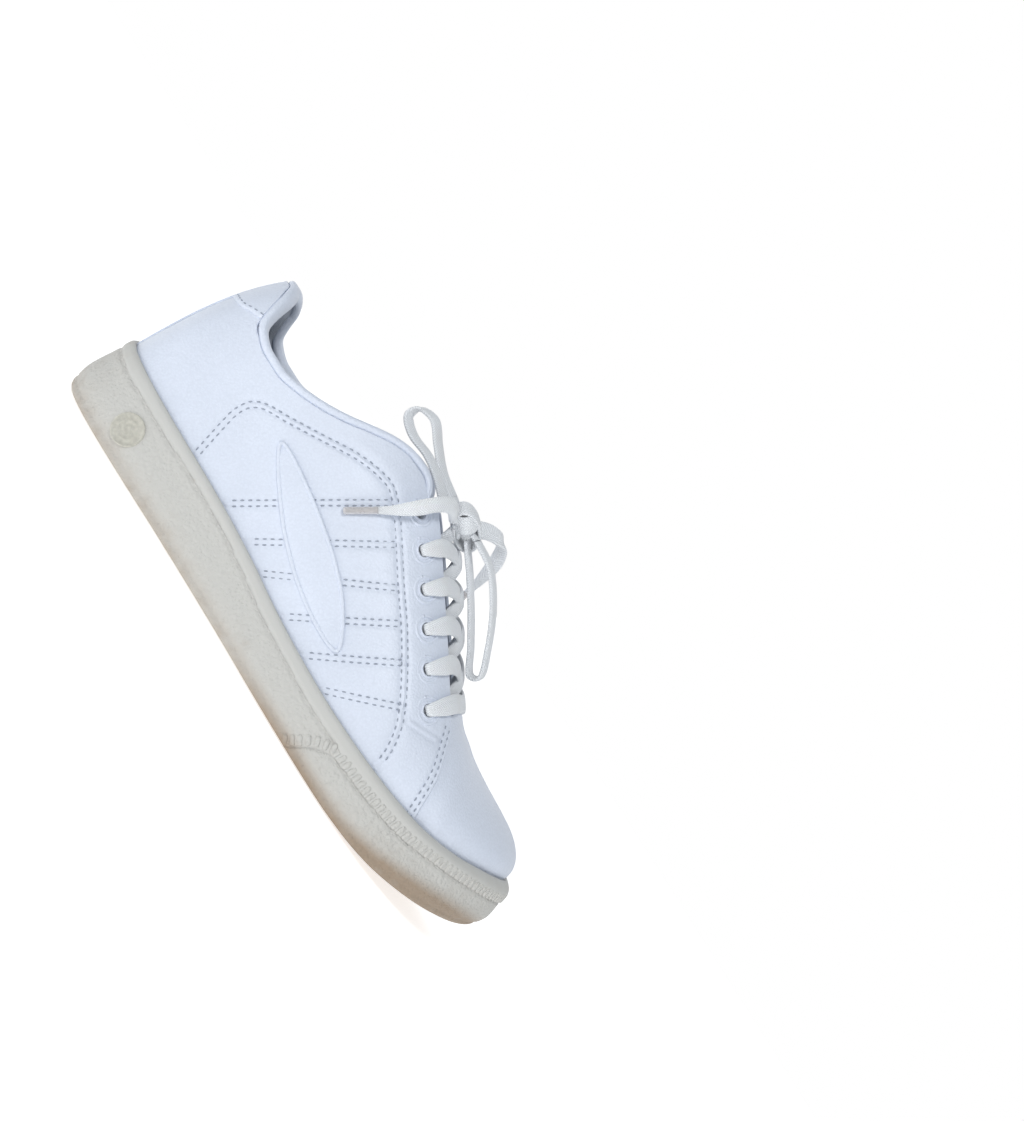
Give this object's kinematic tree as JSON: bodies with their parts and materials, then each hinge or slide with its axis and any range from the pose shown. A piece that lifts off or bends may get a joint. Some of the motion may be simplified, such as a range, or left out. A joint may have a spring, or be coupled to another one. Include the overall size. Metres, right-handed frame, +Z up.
{
  "type": "court shoe",
  "caption": "Low court shoe for the right foot: lasted leather upper on a rubber cup sole, padded collar, tongue and tied flat laces.",
  "frame": {"origin": "on the ground under the middle of the sole", "axes": "+X to the toe, +Y to the inner (medial) side of the foot, +Z up"},
  "size_m": [0.2793, 0.1022, 0.1181],
  "materials": {
    "white_leather": "fine pebbled",
    "sole_rubber": "matte, moulded grain",
    "lining_cloth": "woven",
    "soft_foam": "open cell",
    "board_fibre": "pressed fibre",
    "lace_cloth": "flat woven",
    "badge_plastic": "satin",
    "aglet_plastic": "clear gloss"
  },
  "bodies": {
    "shoe": {"outsole": "sole_rubber", "badge_lateral": "badge_plastic", "badge_medial": "badge_plastic", "midsole": "soft_foam", "lasting_board": "board_fibre", "heel_patch": "white_leather", "quarter_lateral": "white_leather", "quarter_medial": "white_leather", "vamp": "white_leather", "heel_counter": "board_fibre", "toe_puff": "board_fibre", "eyelet_stay_lateral": "board_fibre", "eyelet_stay_medial": "board_fibre", "collar_foam": "soft_foam", "collar_lining": "lining_cloth", "quarter_lining_lateral": "lining_cloth", "quarter_lining_medial": "lining_cloth", "vamp_lining": "lining_cloth", "sockliner": "lining_cloth", "collar_roll": "lining_cloth", "side_pad_lateral": "white_leather", "side_pad_medial": "white_leather", "lace_threaded": "lace_cloth", "lace_knot": "lace_cloth", "lace_loop_rear": "lace_cloth", "lace_loop_front": "lace_cloth", "lace_tail_lateral": "lace_cloth", "lace_tail_medial": "lace_cloth", "aglet_lateral": "aglet_plastic", "aglet_medial": "aglet_plastic"},
    "tongue": {"tongue_shell": "white_leather", "tongue_foam": "soft_foam", "tongue_lining": "lining_cloth"}
  },
  "joints": [
    {"name": "tongue_swing", "type": "hinge", "parent": "shoe", "child": "tongue", "pos_m": [0.06615, 0.00475, 0.0485], "axis": [0, 1, 0], "range_deg": [-8, 0]}
  ]
}
